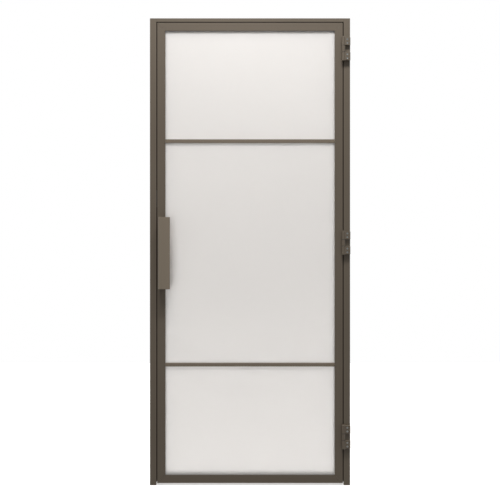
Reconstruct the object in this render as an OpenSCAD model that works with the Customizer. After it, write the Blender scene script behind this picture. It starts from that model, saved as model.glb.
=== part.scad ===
// Single glazed swing door with its frame, in slim extruded profiles.
// The frame is two jambs and a head with a stop, and no sill. The leaf is a mitred frame
// round one pane, with surface bars on the glass, a bent-plate pull on each face,
// a magnetic catch, and three knuckle hinges that carry it in front of the jamb.
// X is across the door towards the hinges, Y goes away from the pull side, Z is up.
// The origin is at floor level, at the middle of the width and of the leaf's thickness.

/* [Overall size] */
// Overall width of the frame
frame_w = 900; // [760:10:1100]
// Overall height of the frame
frame_h = 2100; // [1960:10:2400]
// Gap between the leaf and the frame at the sides and the top
leaf_gap = 4; // [4:0.25:5]
// Gap between the leaf and the floor
floor_gap = 10; // [6:1:14]

/* [Frame profile] */
// Face width of the jambs
jamb_face = 29; // [28:1:34]
// Face width of the head
head_face = 16; // [15:1:24]
// Depth of the frame
frame_depth = 70; // [68:1:90]
// How far the stop stands into the opening
stop_h = 12; // [12:0.5:13]
// Wall thickness of the profiles
wall = 2; // [1.8:0.1:2]

/* [Leaf profile] */
// Face width of the stiles and rails
leaf_face = 36; // [36:1:44]
// Thickness of the leaf
leaf_depth = 40; // [40:1:42]
// How far the lip and the bead cover the glass pocket
pocket_h = 12; // [12:0.5:13]

/* [Glazing] */
// Thickness of the glass
glass_t = 8; // [6:1:8]
// Width of a glazing bar
bar_w = 16; // [12:1:24]
// Thickness of a glazing bar
bar_t = 5; // [3:0.5:5]
// Height of the glass above the upper bar and below the lower bar
outer_pane_h = 488; // [300:2:600]

/* [Hinges] */
// Height of a hinge with its end caps
hinge_h = 108; // [100:1:120]
// Outside diameter of the knuckles
knuckle_d = 16; // [16:0.5:17]
// Diameter of the hinge pin
pin_d = 8; // [7:0.5:8]
// Height of the lowest hinge above the floor
hinge_low = 220; // [180:10:300]
// Distance of the highest hinge below the top of the frame
hinge_drop = 140; // [140:10:200]

/* [Pulls and catch] */
// Height of the pulls
pull_h = 320; // [240:10:400]
// Width of the front pull
pull_w = 52; // [50:1:60]
// How far the pulls stand out from the leaf
pull_out = 45; // [40:1:50]
// Thickness of the bent plate
pull_t = 4; // [3:0.5:4]
// Height of the middle of the pulls above the floor
pull_z = 1044; // [950:1:1100]
// Height of the middle of the magnetic catch above the floor
catch_z = 1290; // [1280:10:1400]

/* [Hidden] */
$fn = 48;

bronze = [0.41, 0.37, 0.32];
bare_aluminium = [0.72, 0.73, 0.74];
zinc_steel = [0.62, 0.62, 0.60];
black_rubber = [0.10, 0.10, 0.10];
satin_glass = [0.86, 0.86, 0.85, 0.6];
clear_tape = [0.80, 0.80, 0.78];
black_plastic = [0.14, 0.14, 0.14];

// Saw line left open at a joint between two lengths of profile
joint_line = 0.15;
// Loose fit of a block inside a profile
slip = 0.2;

// Leaf: outer edges, and the planes of its two faces
leaf_sides = ["bottom", "top", "lock", "hinge"];
leaf_w = frame_w - 2 * (jamb_face + leaf_gap);
leaf_top = frame_h - head_face - leaf_gap;
leaf_h = leaf_top - floor_gap;
leaf_mid = floor_gap + leaf_h / 2;
front_y = -leaf_depth / 2;
back_y = leaf_depth / 2;

// Frame: the stop stands a little behind the closed leaf, and its seal fills the space
stop_y = back_y + 4;
frame_back_y = front_y + frame_depth;
seal_u = stop_h * 2 / 3;
seal_foot_w = 2.1;
seal_bulb_w = 5;

// Glass pocket of the leaf profile, measured from its outer edge and along Y
lip_t = 3;
gasket_t = 3;
pocket_u = leaf_face - pocket_h;
edge_room = 3.5;
glass_u = pocket_u + edge_room;
glass_front_y = front_y + lip_t + gasket_t;
glass_back_y = glass_front_y + glass_t;
bead_y = glass_back_y + gasket_t;
bead_wall = 1.5;
rib_t = 1.5;
rib_h = 3;
rib_front_y = bead_y + 6;
rib_back_y = bead_y + 16;
tape_t = 1;
tape_w = bar_w - 4;
sight_w = leaf_w - 2 * leaf_face;
sight_low = floor_gap + leaf_face;
sight_high = leaf_top - leaf_face;
bar_z = [sight_low + outer_pane_h + bar_w / 2, sight_high - outer_pane_h - bar_w / 2];

// Hinges: the axis runs in the middle of the gap, far enough in front of the leaf's face
// for the knuckles to clear it
hinge_x = leaf_w / 2 + leaf_gap / 2;
hinge_y = front_y - knuckle_d / 2 - 1;
hinge_z = [hinge_low, (hinge_low + frame_h - hinge_drop) / 2, frame_h - hinge_drop];
hinge_cap_h = 3;
knuckle_end = hinge_h / 2 - hinge_cap_h;
knuckle_split = hinge_h * 4 / 27;
leaf_knuckle_half = knuckle_split - 2;
bush_flange_t = 1.7;
bush_r = pin_d / 2 + 2;
wing_t = 2.5;
wing_end_y = front_y + 34;
block_front_y = front_y - 14;
plate_front_y = front_y - 4;
frame_screw_z = [-0.39, -0.235, 0.235, 0.39] * hinge_h;
frame_screw_x = frame_w / 2 - jamb_face / 2 + 0.5;
wing_screw_z = [-38, 0, 38];
wing_screw_y = front_y + 17;

// Screw sizes, as radii of the thread, the clearance hole, the tapped hole and the head
m4_r = 1.95;
m4_hole_r = 2.05;
m4_head_r = 4;
m5_r = 2.45;
m5_hole_r = 2.75;
m5_tap_r = 2.5;
m5_head_r = 4.25;
m5_head_h = 5;
m5_csk_r = 4.6;

// Screws through each jamb into the ends of the head
corner_screw_y = [front_y + 12, front_y + 32];
corner_screw_z = frame_h - head_face / 2;

// Corners of the leaf: a cleat's arms, and the screw through each profile into its cleat
cleat_arm = 70;
cleat_screw_u = 48;
cleat_screw_v = rib_front_y + (rib_back_y - rib_front_y + rib_t) / 2;

// Packers: how far the middle of each is from the corner of the leaf, and its length
packer_u = 150;
packer_l = 80;

// Wall fixings: drilled through the stop part of the frame, behind the closed leaf
fixing_r = 4;
fixing_y = (stop_y + frame_back_y) / 2;
fixing_z = [150, 750, frame_h - 750, frame_h - 150];
fixing_x = [-250, 250];

// Pulls
pull_bend_r = 6;
pull_edge_x = -leaf_w / 2 + 9.5;
pull_bolt_x = -leaf_w / 2 + 18;
pull_bolt_z = [pull_z - pull_h / 2 + 30, pull_z + pull_h / 2 - 30];
pull_flange_end_x = -leaf_w / 2 + 26;
back_flange_x = -leaf_w / 2 + 11.5;
back_web_x = -leaf_w / 2 + 31.5;
back_grip_end_x = pull_edge_x + pull_w;
spacer_r = 3.5;
bolt_head_r = 4.75;
bolt_head_h = 3;

// Catch
catch_plate_t = 1;
catch_plate = [20, 76];
catch_body = [15, 16, 50];
magnet = [9.8, 11.8, 39.8];
catch_screw_z = [-31, 31];

// Helpers

// A rectangle from one corner to the other
module area(low, high) {
    translate(low)
        square(high - low);
}

// A box from one corner to the other
module block(low, high) {
    translate(low)
        cube(high - low);
}

// A length of profile along X, with the profile's first axis up and its second along Y
module crosspiece(length) {
    translate([length / 2, 0, 0])
        rotate([0, -90, 0])
            linear_extrude(length)
                children();
}

// The same, cut at 45 degrees at both ends, with its outer edge on z = 0
module mitred(length) {
    below = 5;
    above = leaf_face + 5;
    half = length / 2 - joint_line;
    intersection() {
        crosspiece(length + 2 * below)
            children();
        rotate([90, 0, 0])
            linear_extrude(4 * leaf_depth, center = true)
                polygon([
                    [-half - below, -below], [half + below, -below],
                    [half - above, above], [-half + above, above]
                ]);
    }
}

// Puts a crosspiece on one of the leaf's four edges, its first axis pointing inwards
module on_leaf(side) {
    if (side == "bottom")
        translate([0, 0, floor_gap]) children();
    if (side == "top")
        translate([0, 0, leaf_top]) mirror([0, 0, 1]) children();
    if (side == "lock")
        translate([-leaf_w / 2, 0, leaf_mid]) rotate([0, 90, 0]) children();
    if (side == "hinge")
        mirror([1, 0, 0])
            translate([-leaf_w / 2, 0, leaf_mid]) rotate([0, 90, 0]) children();
}

function side_length(side) = side == "bottom" || side == "top" ? leaf_w : leaf_h;

// Round bar along Z, Y or X from one coordinate to another
module rod_z(r, low, high) {
    translate([0, 0, low])
        cylinder(h = high - low, r = r);
}
module rod_y(r, low, high) {
    translate([0, low, 0])
        rotate([-90, 0, 0])
            cylinder(h = high - low, r = r);
}
module rod_x(r, low, high) {
    translate([low, 0, 0])
        rotate([0, 90, 0])
            cylinder(h = high - low, r = r);
}

// Countersunk screw along Z: its flat head is at z = 0 and it points down
module countersunk(r, head_r, length, socket) {
    difference() {
        union() {
            translate([0, 0, r - head_r])
                cylinder(h = head_r - r, r1 = r, r2 = head_r);
            rod_z(r, -length, r - head_r);
        }
        translate([0, 0, -1.5])
            cylinder(h = 2, r = socket, $fn = 6);
    }
}

// Hole for it: clearance along the shank and a seat for the cone
module countersink(hole_r, head_r, r, depth) {
    rod_z(hole_r, -depth, 1);
    translate([0, 0, r - head_r])
        cylinder(h = head_r - r + 0.5, r1 = r + 0.1, r2 = head_r + 0.6);
}

// Cap screw along Z: the underside of its head is at z = 0 and it points down
module cap_screw(r, head_r, head_h, length, socket) {
    difference() {
        union() {
            rod_z(head_r, 0, head_h);
            rod_z(r, -length, 0);
        }
        translate([0, 0, head_h - 2])
            cylinder(h = 3, r = socket, $fn = 6);
    }
}

// Profiles, drawn from the outer edge (first axis) and along Y (second axis)

// Frame profile: front chamber, web, and the stop with its seal groove
module frame_profile(face) {
    deep = face + stop_h;
    groove = face + seal_u;
    difference() {
        union() {
            area([0, front_y], [face, stop_y]);
            area([0, stop_y], [deep, frame_back_y]);
        }
        area([wall, front_y + wall], [face - wall, stop_y]);
        difference() {
            area([wall, stop_y + wall], [deep - wall, frame_back_y - wall]);
            area([groove - 4, stop_y + wall], [deep, stop_y + 6.5]);
        }
        area([groove - 1.25, stop_y - 1], [groove + 1.25, stop_y + 3]);
        area([groove - 2.5, stop_y + 2], [groove + 2.5, stop_y + 5]);
    }
}

// Leaf profile: hollow chamber, front lip over the glass, and two ribs for the bead
module leaf_profile() {
    difference() {
        area([0, front_y], [pocket_u, back_y]);
        area([wall, front_y + wall], [pocket_u - wall, back_y - wall]);
    }
    area([pocket_u - 1, front_y], [leaf_face, front_y + lip_t]);
    for (y = [rib_front_y, rib_back_y])
        area([pocket_u - 1, y], [pocket_u + rib_h, y + rib_t]);
}

// Glazing bead: three walls, and two feet that snap between the ribs
module bead_profile() {
    foot = pocket_u + slip;
    area([foot, bead_y], [leaf_face, bead_y + bead_wall]);
    area([leaf_face - bead_wall, bead_y], [leaf_face, back_y]);
    area([foot, back_y - bead_wall], [leaf_face, back_y]);
    area([foot, rib_front_y + rib_t + slip],
         [leaf_face - 1, rib_front_y + rib_t + slip + bead_wall]);
    area([foot, rib_back_y - slip - bead_wall], [leaf_face - 1, rib_back_y - slip]);
}

// Stop seal: a foot in the groove and a hollow bulb in front of it
module seal_bulb(groove) {
    bulb_front_y = back_y + 0.3;
    difference() {
        area([groove - seal_bulb_w / 2, bulb_front_y], [groove + seal_bulb_w / 2, stop_y]);
        area([groove - seal_bulb_w / 2 + 1, bulb_front_y + 1],
             [groove + seal_bulb_w / 2 - 1, stop_y - 1]);
    }
}
module seal_foot(groove) {
    area([groove - seal_foot_w / 2, stop_y - 0.5], [groove + seal_foot_w / 2, stop_y + 3]);
    area([groove - seal_bulb_w / 2 + 0.3, stop_y + 2.2],
         [groove + seal_bulb_w / 2 - 0.3, stop_y + 4.6]);
}

// A bend in plate, as a quarter ring about the origin
module bend(x_side, y_side) {
    intersection() {
        difference() {
            circle(r = pull_bend_r);
            circle(r = pull_bend_r - pull_t);
        }
        translate([min(0, x_side * pull_bend_r), min(0, y_side * pull_bend_r)])
            square(pull_bend_r);
    }
}

// Frame

// One jamb on the lock side, full height, with its fixing and corner-screw holes
module jamb() {
    difference() {
        translate([-frame_w / 2, 0, 0])
            linear_extrude(frame_h)
                frame_profile(jamb_face);
        for (z = fixing_z)
            translate([0, fixing_y, z])
                rod_x(fixing_r, -frame_w / 2 - 1, -frame_w / 2 + jamb_face + stop_h + 1);
        for (y = corner_screw_y)
            translate([0, y, corner_screw_z]) {
                rod_x(m5_hole_r, -frame_w / 2 + jamb_face - wall - 1,
                      -frame_w / 2 + jamb_face + 1);
                rod_x(m5_head_r + 1.25, -frame_w / 2 - 1, -frame_w / 2 + wall + 1);
            }
    }
}

module jamb_lock_side() {
    color(bronze)
        difference() {
            jamb();
            for (z = catch_screw_z)
                translate([-frame_w / 2 + jamb_face, 0, catch_z + z])
                    rotate([0, 90, 0])
                        countersink(m4_hole_r, m4_head_r - catch_plate_t, m4_r, wall + 1);
        }
}

module jamb_hinge_side() {
    color(bronze)
        difference() {
            mirror([1, 0, 0])
                jamb();
            for (z = hinge_z, s = frame_screw_z)
                translate([frame_screw_x, 0, z + s])
                    rod_y(m5_hole_r, front_y - 1, front_y + wall + 1);
        }
}

// The head fits between the jambs, and its stop is coped to fit between their stops
module head() {
    span = frame_w - 2 * jamb_face - 2 * joint_line;
    cope = span / 2 - stop_h;
    color(bronze)
        difference() {
            translate([0, 0, frame_h])
                mirror([0, 0, 1])
                    crosspiece(span)
                        frame_profile(head_face);
            for (side = [-1, 1])
                translate([side * (cope + stop_h), 0, frame_h])
                    block([-stop_h, stop_y, -100], [stop_h, frame_back_y + 1, 1]);
            for (x = fixing_x)
                translate([x, fixing_y, 0])
                    rod_z(fixing_r, frame_h - head_face - stop_h - 1, frame_h + 1);
        }
}

module head_block() {
    high = frame_h - wall - slip;
    low = frame_h - head_face + wall + slip;
    outer_x = -frame_w / 2 + jamb_face + joint_line;
    color(bare_aluminium)
        difference() {
            block([outer_x, front_y + wall + slip, low], [outer_x + 50, stop_y - slip, high]);
            for (y = corner_screw_y)
                translate([0, y, corner_screw_z])
                    rod_x(m5_tap_r, outer_x - 1, outer_x + 30);
        }
}
module head_block_lock_side() {
    head_block();
}
module head_block_hinge_side() {
    mirror([1, 0, 0])
        head_block();
}

module frame_corner_screws() {
    seat_x = frame_w / 2 - jamb_face + wall;
    color(zinc_steel)
        for (side = [0, 1], y = corner_screw_y)
            mirror([side, 0, 0])
                translate([seat_x, y, corner_screw_z])
                    rotate([0, 90, 0])
                        cap_screw(m5_r, m5_head_r, m5_head_h, 25, 2.3);
}

module stop_seal_lock_side() {
    color(black_rubber)
        translate([-frame_w / 2, 0, 2])
            linear_extrude(leaf_top - 4) {
                seal_bulb(jamb_face + seal_u);
                seal_foot(jamb_face + seal_u);
            }
}
module stop_seal_hinge_side() {
    mirror([1, 0, 0])
        stop_seal_lock_side();
}

// The bulb of the head's seal reaches the jamb seals, and its foot only the coped stop
module stop_seal_head() {
    bulb_span = frame_w - 2 * (jamb_face + seal_u + seal_bulb_w / 2) - 0.2;
    foot_span = frame_w - 2 * (jamb_face + stop_h) - 2;
    color(black_rubber)
        translate([0, 0, frame_h])
            mirror([0, 0, 1]) {
                crosspiece(bulb_span)
                    seal_bulb(head_face + seal_u);
                crosspiece(foot_span)
                    seal_foot(head_face + seal_u);
            }
}

module keeper_plate() {
    x = -frame_w / 2 + jamb_face;
    half = catch_plate / 2;
    color(zinc_steel)
        difference() {
            block([x, -half[0], catch_z - half[1]], [x + catch_plate_t, half[0], catch_z + half[1]]);
            for (z = catch_screw_z)
                translate([x + catch_plate_t, 0, catch_z + z])
                    rotate([0, 90, 0])
                        countersink(m4_hole_r, m4_head_r, m4_r, 4);
        }
}
module keeper_screws() {
    color(zinc_steel)
        for (z = catch_screw_z)
            translate([-frame_w / 2 + jamb_face + catch_plate_t, 0, catch_z + z])
                rotate([0, 90, 0])
                    countersunk(m4_r, m4_head_r, 13, 1.4);
}

// Hinges, each about its own axis at z = 0

module at_hinge(i) {
    translate([hinge_x, hinge_y, hinge_z[i]])
        children();
}

// Plan of a block: the knuckle and a body that lies on the face of the jamb
module hinge_block_plan() {
    reach = frame_w / 2 - hinge_x;
    front = block_front_y - hinge_y;
    face = front_y - hinge_y;
    corner = 3;
    union() {
        circle(d = knuckle_d);
        polygon([
            [0, front], [reach - corner, front], [reach, front + corner], [reach, face],
            [leaf_gap / 2 + 0.6, face], [leaf_gap / 2 + 0.6, face - 1.6], [0, face - 1.6]
        ]);
    }
}

// Frame part: a plate on the jamb, with a block and a knuckle above and below the middle
module hinge_frame_part() {
    reach = frame_w / 2 - hinge_x;
    color(bronze)
        difference() {
            union() {
                for (low = [-knuckle_end, knuckle_split])
                    translate([0, 0, low])
                        linear_extrude(knuckle_end - knuckle_split)
                            hinge_block_plan();
                block([knuckle_d / 2 - 1, plate_front_y - hinge_y, -knuckle_end],
                      [reach, front_y - hinge_y, knuckle_end]);
            }
            rod_z(pin_d / 2 + 0.05, -hinge_h, hinge_h);
            for (z = frame_screw_z)
                translate([frame_screw_x - hinge_x, 0, z]) {
                    rod_y(m5_hole_r, -hinge_h, hinge_h);
                    rod_y(m5_head_r + 0.5, block_front_y - hinge_y - 1,
                          block_front_y - hinge_y + m5_head_h + 0.5);
                }
        }
}
module hinge_frame_part_low() {
    at_hinge(0) hinge_frame_part();
}
module hinge_frame_part_mid() {
    at_hinge(1) hinge_frame_part();
}
module hinge_frame_part_top() {
    at_hinge(2) hinge_frame_part();
}

module hinge_pin() {
    color(zinc_steel)
        rod_z(pin_d / 2, -knuckle_end + 3, knuckle_end - 3);
}
module hinge_pin_low() {
    at_hinge(0) hinge_pin();
}
module hinge_pin_mid() {
    at_hinge(1) hinge_pin();
}
module hinge_pin_top() {
    at_hinge(2) hinge_pin();
}

// End caps: a spigot in the bore and a chamfered disc over the end of the knuckle
module hinge_caps() {
    color(bronze)
        for (i = [0:2], end = [0, 1])
            at_hinge(i)
                mirror([0, 0, end])
                    translate([0, 0, knuckle_end]) {
                        rod_z(pin_d / 2, -2.8, 0);
                        rod_z(knuckle_d / 2, 0, hinge_cap_h - 1.5);
                        translate([0, 0, hinge_cap_h - 1.5])
                            cylinder(h = 1.5, r1 = knuckle_d / 2, r2 = knuckle_d / 2 - 1.5);
                    }
}

module hinge_frame_screws() {
    seat_y = block_front_y + m5_head_h + 0.5;
    color(zinc_steel)
        for (i = [0:2], z = frame_screw_z)
            translate([frame_screw_x, seat_y, hinge_z[i] + z])
                rotate([90, 0, 0])
                    cap_screw(m5_r, m5_head_r, m5_head_h, 16, 2.3);
}

module hinge_backing_jamb() {
    half = jamb_face / 2 - wall - 1.5;
    color(zinc_steel)
        for (i = [0:2])
            difference() {
                translate([frame_w / 2 - jamb_face / 2, front_y + wall, hinge_z[i]])
                    block([-half, 0, -knuckle_end + 1], [half, 5, knuckle_end - 1]);
                for (z = frame_screw_z)
                    translate([frame_screw_x, 0, hinge_z[i] + z])
                        rod_y(m5_tap_r, front_y, 0);
            }
}

// Leaf part: the middle knuckle and a wing that lies on the edge of the stile, in the gap
module hinge_leaf_part() {
    wing_x = -leaf_gap / 2;
    wing_y = knuckle_d / 2 + 0.5;
    end_y = wing_end_y - hinge_y;
    color(bronze)
        difference() {
            union() {
                rod_z(knuckle_d / 2, -leaf_knuckle_half, leaf_knuckle_half);
                block([wing_x, wing_y, -knuckle_end], [wing_x + wing_t, end_y, knuckle_end]);
                block([wing_x, knuckle_d / 2 - 2, -leaf_knuckle_half],
                      [wing_x + wing_t, wing_y + 1, leaf_knuckle_half]);
            }
            rod_z(bush_r + 0.02, -hinge_h, hinge_h);
            for (z = wing_screw_z)
                translate([wing_x + wing_t, wing_screw_y - hinge_y, z])
                    rotate([0, 90, 0])
                        countersink(m5_hole_r, m5_csk_r, m5_r, 6);
        }
}
module hinge_leaf_part_low() {
    at_hinge(0) hinge_leaf_part();
}
module hinge_leaf_part_mid() {
    at_hinge(1) hinge_leaf_part();
}
module hinge_leaf_part_top() {
    at_hinge(2) hinge_leaf_part();
}

// Two flanged bushes in the leaf's knuckle, running on the pin
module hinge_bushes() {
    color(black_plastic)
        for (end = [0, 1])
            mirror([0, 0, end])
                difference() {
                    union() {
                        rod_z(bush_r, leaf_knuckle_half - 12, leaf_knuckle_half);
                        rod_z(knuckle_d / 2 - 0.4, leaf_knuckle_half,
                              leaf_knuckle_half + bush_flange_t);
                    }
                    rod_z(pin_d / 2 + 0.05, -hinge_h, hinge_h);
                }
}
module hinge_bushes_low() {
    at_hinge(0) hinge_bushes();
}
module hinge_bushes_mid() {
    at_hinge(1) hinge_bushes();
}
module hinge_bushes_top() {
    at_hinge(2) hinge_bushes();
}

module hinge_leaf_screws() {
    color(zinc_steel)
        for (i = [0:2], z = wing_screw_z)
            translate([leaf_w / 2 + wing_t, wing_screw_y, hinge_z[i] + z])
                rotate([0, 90, 0])
                    countersunk(m5_r, m5_csk_r, 9.5, 1.8);
}

module hinge_backing_stile() {
    color(zinc_steel)
        for (i = [0:2])
            difference() {
                translate([leaf_w / 2 - wall, wing_screw_y, hinge_z[i]])
                    block([-5, -12, -knuckle_end + 3], [0, 12, knuckle_end - 3]);
                for (z = wing_screw_z)
                    translate([0, wing_screw_y, hinge_z[i] + z])
                        rod_x(m5_tap_r, leaf_w / 2 - 10, leaf_w / 2);
            }
}

// Leaf

// Two screws in each corner, one through each profile's pocket floor into the cleat
module at_corner_screws(side) {
    for (end = [-1, 1])
        on_leaf(side)
            translate([end * (side_length(side) / 2 - cleat_screw_u), cleat_screw_v, pocket_u])
                children();
}

module leaf_member(side) {
    difference() {
        on_leaf(side)
            mitred(side_length(side))
                leaf_profile();
        at_corner_screws(side)
            countersink(m4_hole_r, m4_head_r, m4_r, wall + 1);
    }
}

module rail_top() {
    color(bronze)
        leaf_member("top");
}
module rail_bottom() {
    color(bronze)
        leaf_member("bottom");
}

module stile_hinge_side() {
    color(bronze)
        difference() {
            leaf_member("hinge");
            for (z = hinge_z, s = wing_screw_z)
                translate([0, wing_screw_y, z + s])
                    rod_x(m5_hole_r, leaf_w / 2 - wall - 1, leaf_w / 2 + 1);
        }
}

module stile_lock_side() {
    x = -leaf_w / 2;
    room = catch_body / 2 + [0, slip, slip];
    color(bronze)
        difference() {
            leaf_member("lock");
            for (z = pull_bolt_z)
                translate([pull_bolt_x, 0, z])
                    rod_y(m5_hole_r, front_y - 1, back_y + 1);
            block([x - 1, -room[1], catch_z - room[2]], [x + wall + 1, room[1], catch_z + room[2]]);
            for (z = catch_screw_z)
                translate([x, 0, catch_z + z])
                    rotate([0, -90, 0])
                        countersink(m4_hole_r, m4_head_r - catch_plate_t, m4_r, wall + 1);
        }
}

// Corner cleat: an L whose arms slide into the two chambers, lightened along each arm
module leaf_cleat() {
    low = wall + slip;
    high = pocket_u - wall - slip;
    deep = leaf_depth - 2 * (wall + slip);
    color(bare_aluminium)
        difference() {
            rotate([90, 0, 0])
                linear_extrude(deep, center = true)
                    difference() {
                        union() {
                            area([low, low], [cleat_arm, high]);
                            area([low, low], [high, cleat_arm]);
                        }
                        area([high + 4, low + 5], [high + 16, high - 5]);
                        area([low + 5, high + 4], [high - 5, high + 16]);
                    }
            translate([cleat_screw_u, cleat_screw_v, 0])
                rod_z(m4_r + 0.05, high - 12, high + 1);
            translate([0, cleat_screw_v, cleat_screw_u])
                rod_x(m4_r + 0.05, high - 12, high + 1);
        }
}
module leaf_cleat_bottom_lock() {
    translate([-leaf_w / 2, 0, floor_gap])
        leaf_cleat();
}
module leaf_cleat_bottom_hinge() {
    mirror([1, 0, 0])
        leaf_cleat_bottom_lock();
}
module leaf_cleat_top_lock() {
    translate([-leaf_w / 2, 0, leaf_top])
        mirror([0, 0, 1])
            leaf_cleat();
}
module leaf_cleat_top_hinge() {
    mirror([1, 0, 0])
        leaf_cleat_top_lock();
}

module leaf_corner_screws() {
    color(zinc_steel)
        for (side = leaf_sides)
            at_corner_screws(side)
                countersunk(m4_r, m4_head_r, 12, 1.4);
}

// Glazing

module glass_pane() {
    half_w = leaf_w / 2 - glass_u;
    color(satin_glass)
        block([-half_w, glass_front_y, floor_gap + glass_u],
              [half_w, glass_back_y, leaf_top - glass_u]);
}

module glass_gasket(front) {
    low = front ? front_y + lip_t : glass_back_y;
    color(black_rubber)
        for (side = leaf_sides)
            on_leaf(side)
                mitred(side_length(side))
                    area([glass_u, low], [leaf_face - 0.3, low + gasket_t]);
}
module glass_gasket_front() {
    glass_gasket(true);
}
module glass_gasket_back() {
    glass_gasket(false);
}

// Packers between the edge of the glass and the pocket floor, two on each side
module setting_blocks() {
    color(black_plastic)
        for (side = leaf_sides, end = [-1, 1])
            on_leaf(side)
                translate([end * (side_length(side) / 2 - packer_u), 0, 0])
                    crosspiece(packer_l)
                        area([pocket_u, glass_front_y + 0.5], [glass_u, glass_back_y]);
}

module bead(side) {
    color(bronze)
        on_leaf(side)
            mitred(side_length(side))
                bead_profile();
}
module bead_hinge_side() {
    bead("hinge");
}
module bead_lock_side() {
    bead("lock");
}
module bead_top() {
    bead("top");
}
module bead_bottom() {
    bead("bottom");
}

// Glazing bar: a flat with its two outer edges bevelled, lying on the tape
module bar(z, y, outward) {
    half = bar_w / 2;
    bevel = 0.8;
    color(bronze)
        translate([0, y, z])
            crosspiece(sight_w - 1)
                polygon([
                    [-half, 0], [half, 0], [half, outward * (bar_t - bevel)],
                    [half - bevel, outward * bar_t], [bevel - half, outward * bar_t],
                    [-half, outward * (bar_t - bevel)]
                ]);
}
module bar_front_lower() {
    bar(bar_z[0], glass_front_y - tape_t, -1);
}
module bar_front_upper() {
    bar(bar_z[1], glass_front_y - tape_t, -1);
}
module bar_back_lower() {
    bar(bar_z[0], glass_back_y + tape_t, 1);
}
module bar_back_upper() {
    bar(bar_z[1], glass_back_y + tape_t, 1);
}
module bar_tapes() {
    color(clear_tape)
        for (z = bar_z, y = [glass_front_y - tape_t, glass_back_y])
            translate([0, 0, z])
                crosspiece(sight_w - 1)
                    area([-tape_w / 2, y], [tape_w / 2, y + tape_t]);
}

// Pulls and catch

// Front pull: one plate bent twice into a channel that opens towards the glass
module pull_front_plan() {
    out_y = front_y - pull_out;
    bend_x = pull_edge_x + pull_bend_r;
    area([bend_x, front_y - pull_t], [pull_flange_end_x, front_y]);
    translate([bend_x, front_y - pull_bend_r])
        bend(-1, 1);
    area([pull_edge_x, out_y + pull_bend_r], [pull_edge_x + pull_t, front_y - pull_bend_r]);
    translate([bend_x, out_y + pull_bend_r])
        bend(-1, -1);
    area([bend_x, out_y], [pull_edge_x + pull_w, out_y + pull_t]);
}

// Back pull: bent the other way at its outer edge, so that it passes the stop
module pull_back_plan() {
    out_y = back_y + pull_out;
    area([back_flange_x, back_y], [back_web_x - pull_bend_r, back_y + pull_t]);
    translate([back_web_x - pull_bend_r, back_y + pull_bend_r])
        bend(1, -1);
    area([back_web_x - pull_t, back_y + pull_bend_r], [back_web_x, out_y - pull_bend_r]);
    translate([back_web_x - pull_t + pull_bend_r, out_y - pull_bend_r])
        bend(-1, 1);
    area([back_web_x - pull_t + pull_bend_r, out_y - pull_t], [back_grip_end_x, out_y]);
}

module pull_plate(hole_r) {
    color(bronze)
        difference() {
            translate([0, 0, pull_z - pull_h / 2])
                linear_extrude(pull_h)
                    children();
            for (z = pull_bolt_z)
                translate([pull_bolt_x, 0, z])
                    rod_y(hole_r, front_y - pull_t - 1, back_y + pull_t + 1);
        }
}
module pull_front() {
    pull_plate(m5_tap_r)
        pull_front_plan();
}
module pull_back() {
    pull_plate(m5_hole_r)
        pull_back_plan();
}

module pull_bolts() {
    color(zinc_steel)
        for (z = pull_bolt_z)
            translate([pull_bolt_x, back_y + pull_t, z])
                rotate([-90, 0, 0])
                    cap_screw(m5_r, bolt_head_r, bolt_head_h, leaf_depth + 2 * pull_t - 0.5, 1.8);
}
module pull_spacers() {
    color(zinc_steel)
        for (z = pull_bolt_z)
            translate([pull_bolt_x, 0, z])
                difference() {
                    rod_y(spacer_r, front_y + wall, back_y - wall);
                    rod_y(m5_hole_r - 0.15, front_y, back_y);
                }
}

module catch_housing() {
    x = -leaf_w / 2;
    half = catch_plate / 2;
    body = catch_body / 2;
    room = magnet / 2 + [0, 0.1, 0.1];
    color(black_plastic)
        difference() {
            union() {
                block([x - catch_plate_t, -half[0], catch_z - half[1]], [x, half[0], catch_z + half[1]]);
                block([x - 0.5, -body[1], catch_z - body[2]],
                      [x + catch_body[0], body[1], catch_z + body[2]]);
            }
            block([x - 2, -room[1], catch_z - room[2]],
                  [x - catch_plate_t + 10, room[1], catch_z + room[2]]);
            for (z = catch_screw_z)
                translate([x - catch_plate_t, 0, catch_z + z])
                    rotate([0, -90, 0])
                        countersink(m4_hole_r, m4_head_r, m4_r, 4);
        }
}
module catch_magnet() {
    x = -leaf_w / 2 - catch_plate_t + 10;
    color(zinc_steel)
        block([x - magnet[0], -magnet[1] / 2, catch_z - magnet[2] / 2],
              [x, magnet[1] / 2, catch_z + magnet[2] / 2]);
}
module catch_screws() {
    color(zinc_steel)
        for (z = catch_screw_z)
            translate([-leaf_w / 2 - catch_plate_t, 0, catch_z + z])
                rotate([0, -90, 0])
                    countersunk(m4_r, m4_head_r, 13, 1.4);
}

jamb_hinge_side();
jamb_lock_side();
head();
head_block_hinge_side();
head_block_lock_side();
frame_corner_screws();
stop_seal_hinge_side();
stop_seal_lock_side();
stop_seal_head();
keeper_plate();
keeper_screws();
hinge_frame_part_low();
hinge_frame_part_mid();
hinge_frame_part_top();
hinge_pin_low();
hinge_pin_mid();
hinge_pin_top();
hinge_caps();
hinge_frame_screws();
hinge_backing_jamb();
stile_hinge_side();
stile_lock_side();
rail_top();
rail_bottom();
leaf_cleat_top_hinge();
leaf_cleat_top_lock();
leaf_cleat_bottom_hinge();
leaf_cleat_bottom_lock();
leaf_corner_screws();
glass_pane();
glass_gasket_front();
glass_gasket_back();
setting_blocks();
bead_hinge_side();
bead_lock_side();
bead_top();
bead_bottom();
bar_front_upper();
bar_front_lower();
bar_back_upper();
bar_back_lower();
bar_tapes();
pull_front();
pull_back();
pull_bolts();
pull_spacers();
hinge_leaf_part_low();
hinge_leaf_part_mid();
hinge_leaf_part_top();
hinge_bushes_low();
hinge_bushes_mid();
hinge_bushes_top();
hinge_leaf_screws();
hinge_backing_stile();
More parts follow.
